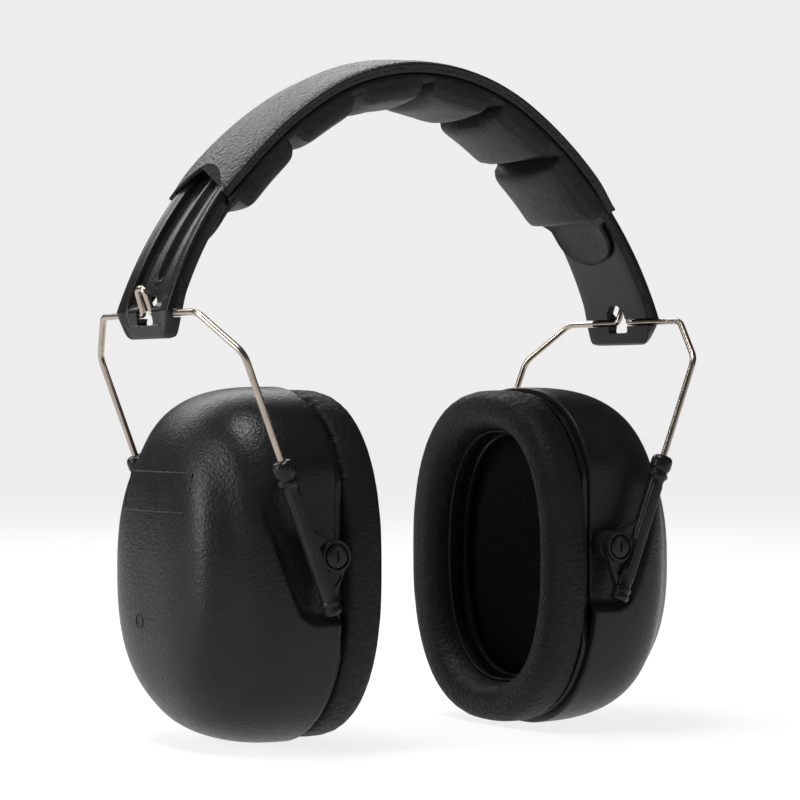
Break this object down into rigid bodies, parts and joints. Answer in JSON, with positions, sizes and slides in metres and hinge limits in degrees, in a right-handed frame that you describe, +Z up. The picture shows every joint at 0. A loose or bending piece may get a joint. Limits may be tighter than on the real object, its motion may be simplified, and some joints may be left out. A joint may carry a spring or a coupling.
{
  "type": "earmuff hearing protector",
  "caption": "Over-the-head earmuff with a padded headband, folding wire yokes, sliding arms and tilting oval cups with ring cushions.",
  "frame": {"origin": "centre of the bounding box in X and Y, on the surface that the cushions stand on", "axes": "+X towards the wearer's right cup as drawn, +Y to the back, +Z up to the crown of the headband"},
  "size_m": [0.179, 0.0986, 0.2067],
  "materials": {
    "gloss_plastic": "smooth moulded black plastic",
    "grained_plastic": "black plastic with a fine pebble grain",
    "leatherette": "black leatherette with a coarse grain",
    "pad_leatherette": "black leatherette with a fine lined grain",
    "cushion_leatherette": "soft black leatherette",
    "spring_steel": "drawn stainless spring wire",
    "foam": "open-cell black foam"
  },
  "bodies": {
    "headband": {"band_strip": "gloss_plastic", "band_sleeve": "leatherette", "head_pad_1": "pad_leatherette", "head_pad_2": "pad_leatherette", "head_pad_3": "pad_leatherette", "head_pad_4": "pad_leatherette", "head_pad_5": "pad_leatherette", "head_pad_6": "pad_leatherette", "pad_tongue_left": "pad_leatherette", "pad_tongue_right": "pad_leatherette"},
    "yoke_left": {"yoke_wire_left": "spring_steel"},
    "arms_left": {"arm_front_left": "gloss_plastic", "arm_rear_left": "gloss_plastic"},
    "cup_left": {"cup_shell_left": "grained_plastic", "pivot_pin_front_left": "gloss_plastic", "pivot_pin_rear_left": "gloss_plastic", "seal_plate_left": "gloss_plastic", "cushion_cover_left": "cushion_leatherette", "cushion_foam_left": "foam", "damping_foam_left": "foam"},
    "yoke_right": {"yoke_wire_right": "spring_steel"},
    "arms_right": {"arm_front_right": "gloss_plastic", "arm_rear_right": "gloss_plastic"},
    "cup_right": {"cup_shell_right": "grained_plastic", "pivot_pin_front_right": "gloss_plastic", "pivot_pin_rear_right": "gloss_plastic", "seal_plate_right": "gloss_plastic", "cushion_cover_right": "cushion_leatherette", "cushion_foam_right": "foam", "damping_foam_right": "foam"}
  },
  "joints": [
    {"name": "fold_left", "type": "hinge", "parent": "headband", "child": "yoke_left", "pos_m": [-0.086, 0, 0.12683], "axis": [0, -1, 0], "range_deg": [0, 36]},
    {"name": "size_left", "type": "slide", "parent": "yoke_left", "child": "arms_left", "axis": [-0.3665, 0, 0.9304], "range_m": [-0.006, 0.02]},
    {"name": "tilt_left", "type": "hinge", "parent": "arms_left", "child": "cup_left", "pos_m": [-0.05, 0, 0.05733], "axis": [0, 1, 0], "range_deg": [-12, 36]},
    {"name": "fold_right", "type": "hinge", "parent": "headband", "child": "yoke_right", "pos_m": [0.086, 0, 0.12683], "axis": [0, 1, 0], "range_deg": [0, 36]},
    {"name": "size_right", "type": "slide", "parent": "yoke_right", "child": "arms_right", "axis": [0.3665, 0, 0.9304], "range_m": [-0.006, 0.02]},
    {"name": "tilt_right", "type": "hinge", "parent": "arms_right", "child": "cup_right", "pos_m": [0.05, 0, 0.05733], "axis": [0, -1, 0], "range_deg": [-12, 36]}
  ]
}
